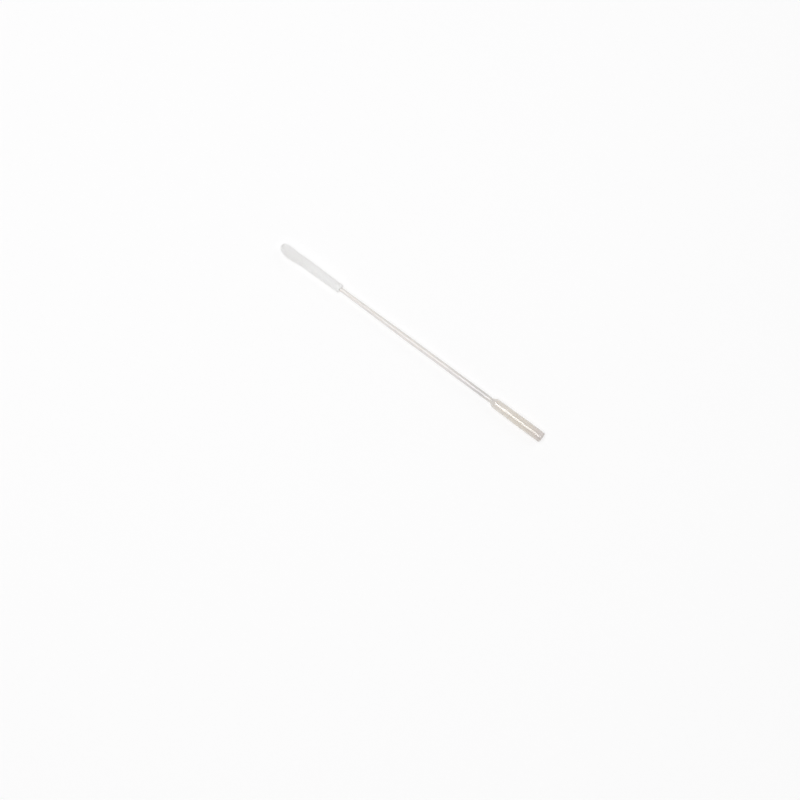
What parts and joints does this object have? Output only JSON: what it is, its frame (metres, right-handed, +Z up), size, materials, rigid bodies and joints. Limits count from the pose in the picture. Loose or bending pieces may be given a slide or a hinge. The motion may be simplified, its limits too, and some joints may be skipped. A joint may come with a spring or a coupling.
{
  "type": "flocked specimen swab",
  "caption": "Slim moulded swab with a flocked fibre tip, a thin flexible neck, a snap-off notch and a thicker round grip.",
  "frame": {"origin": "on the ground under the middle of the swab as it lies on its side: the middle of the bounding box's underside", "axes": "+X from the flocked tip towards the grip, +Z up from the ground. The swab's own axis runs 0.12 degrees down along +X, because the front of the tip is thicker than the grip"},
  "size_m": [0.1, 0.0036, 0.0036],
  "materials": {
    "handle_plastic": "smooth moulded, milky and slightly translucent",
    "nylon_flock": "matt short nap of upright fibres"
  },
  "bodies": {
    "root": {"handle": "handle_plastic", "flocked_tip": "nylon_flock"}
  },
  "joints": []
}
